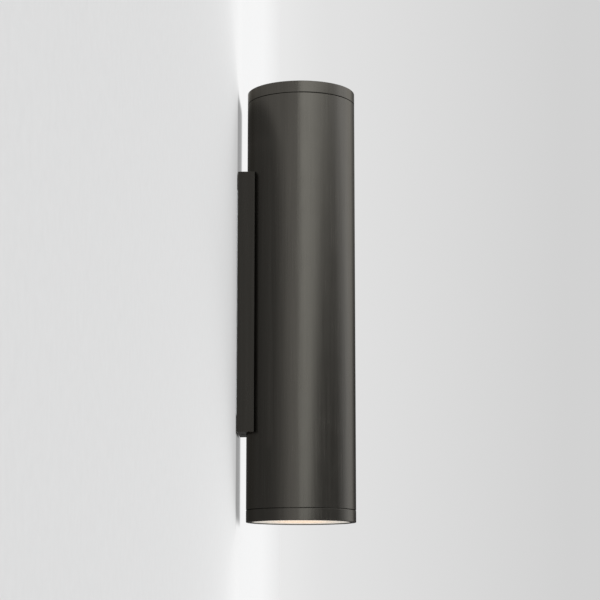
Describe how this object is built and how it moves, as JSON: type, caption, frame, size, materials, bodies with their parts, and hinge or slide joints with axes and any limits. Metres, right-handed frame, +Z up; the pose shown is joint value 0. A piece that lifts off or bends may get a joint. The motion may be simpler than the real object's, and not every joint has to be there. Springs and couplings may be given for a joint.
{
  "type": "tube wall light",
  "caption": "Upright tube wall light that shines up and down, on a slim back box over a wall bracket, with screwed end rings, frosted lenses and twist-lock lamps.",
  "frame": {"origin": "on the wall plane, at the centre of the wall bracket's two screw slots and of the back box", "axes": "+Z up along the tube, +Y into the wall, so the tube stands off towards -Y"},
  "size_m": [0.075, 0.081, 0.3],
  "materials": {
    "bronze": "satin, fine upright grain",
    "zinc_steel": "zinc plated",
    "bright_steel": "plain",
    "black_steel": "blackened",
    "brass": "plain",
    "black_rubber": "matt",
    "silicone": "matt",
    "nylon": "natural",
    "white_plastic": "matt",
    "frosted_lens": "frosted, lit from behind",
    "lamp_white": "gloss",
    "lamp_glass": "prismatic",
    "ceramic": "unglazed",
    "live_sleeve": "matt",
    "neutral_sleeve": "matt",
    "earth_sleeve": "matt"
  },
  "bodies": {
    "wall_plate": {"wall_bracket": "zinc_steel", "cable_grommet": "black_rubber", "earth_washer": "brass", "earth_screw": "brass"},
    "housing": {"tube": "bronze", "back_box": "bronze", "chassis": "zinc_steel", "saddle_spacers": "nylon", "tube_screws": "bright_steel", "earth_tag": "brass", "tag_screw": "brass", "terminal_block": "white_plastic", "terminal_clamps": "brass", "terminal_screws": "bright_steel", "block_screws": "bright_steel", "earth_wire": "earth_sleeve", "grub_screws": "black_steel", "top_holder": "ceramic", "top_holder_contacts": "brass", "top_holder_screws": "bright_steel", "top_live_wire": "live_sleeve", "top_neutral_wire": "neutral_sleeve", "bottom_holder": "ceramic", "bottom_holder_contacts": "brass", "bottom_holder_screws": "bright_steel", "bottom_live_wire": "live_sleeve", "bottom_neutral_wire": "neutral_sleeve"},
    "top_lens_pack": {"top_lens": "frosted_lens", "top_lens_gasket": "silicone", "top_snap_ring": "bright_steel"},
    "top_bezel_ring": {"top_bezel": "bronze"},
    "top_lamp": {"top_lamp_shell": "lamp_white", "top_lamp_glass": "lamp_glass", "top_lamp_pins": "bright_steel"},
    "bottom_lens_pack": {"bottom_lens": "frosted_lens", "bottom_lens_gasket": "silicone", "bottom_snap_ring": "bright_steel"},
    "bottom_bezel_ring": {"bottom_bezel": "bronze"},
    "bottom_lamp": {"bottom_lamp_shell": "lamp_white", "bottom_lamp_glass": "lamp_glass", "bottom_lamp_pins": "bright_steel"}
  },
  "joints": [
    {"name": "lift_off", "type": "slide", "parent": "wall_plate", "child": "housing", "axis": [0, -1, 0], "range_m": [0, 0.012]},
    {"name": "top_lens_travel", "type": "slide", "parent": "housing", "child": "top_lens_pack", "axis": [0, 0, 1], "range_m": [0, 0.0076]},
    {"name": "top_bezel_turn", "type": "hinge", "parent": "top_lens_pack", "child": "top_bezel_ring", "pos_m": [0, -0.0435, 0.146], "axis": [0, 0, 1], "range_deg": [0, 1800]},
    {"name": "top_lamp_twist", "type": "hinge", "parent": "housing", "child": "top_lamp", "pos_m": [0, -0.0435, 0.086], "axis": [0, 0, 1], "range_deg": [0, 25]},
    {"name": "bottom_lens_travel", "type": "slide", "parent": "housing", "child": "bottom_lens_pack", "axis": [0, 0, -1], "range_m": [0, 0.0076]},
    {"name": "bottom_bezel_turn", "type": "hinge", "parent": "bottom_lens_pack", "child": "bottom_bezel_ring", "pos_m": [0, -0.0435, -0.146], "axis": [0, 0, -1], "range_deg": [0, 1800]},
    {"name": "bottom_lamp_twist", "type": "hinge", "parent": "housing", "child": "bottom_lamp", "pos_m": [0, -0.0435, -0.086], "axis": [0, 0, -1], "range_deg": [0, 25]}
  ],
  "couplings": [
    {"joint": "top_lens_travel", "follows": "top_bezel_turn", "m_per_rad": 0.00023873},
    {"joint": "bottom_lens_travel", "follows": "bottom_bezel_turn", "m_per_rad": 0.00023873}
  ]
}
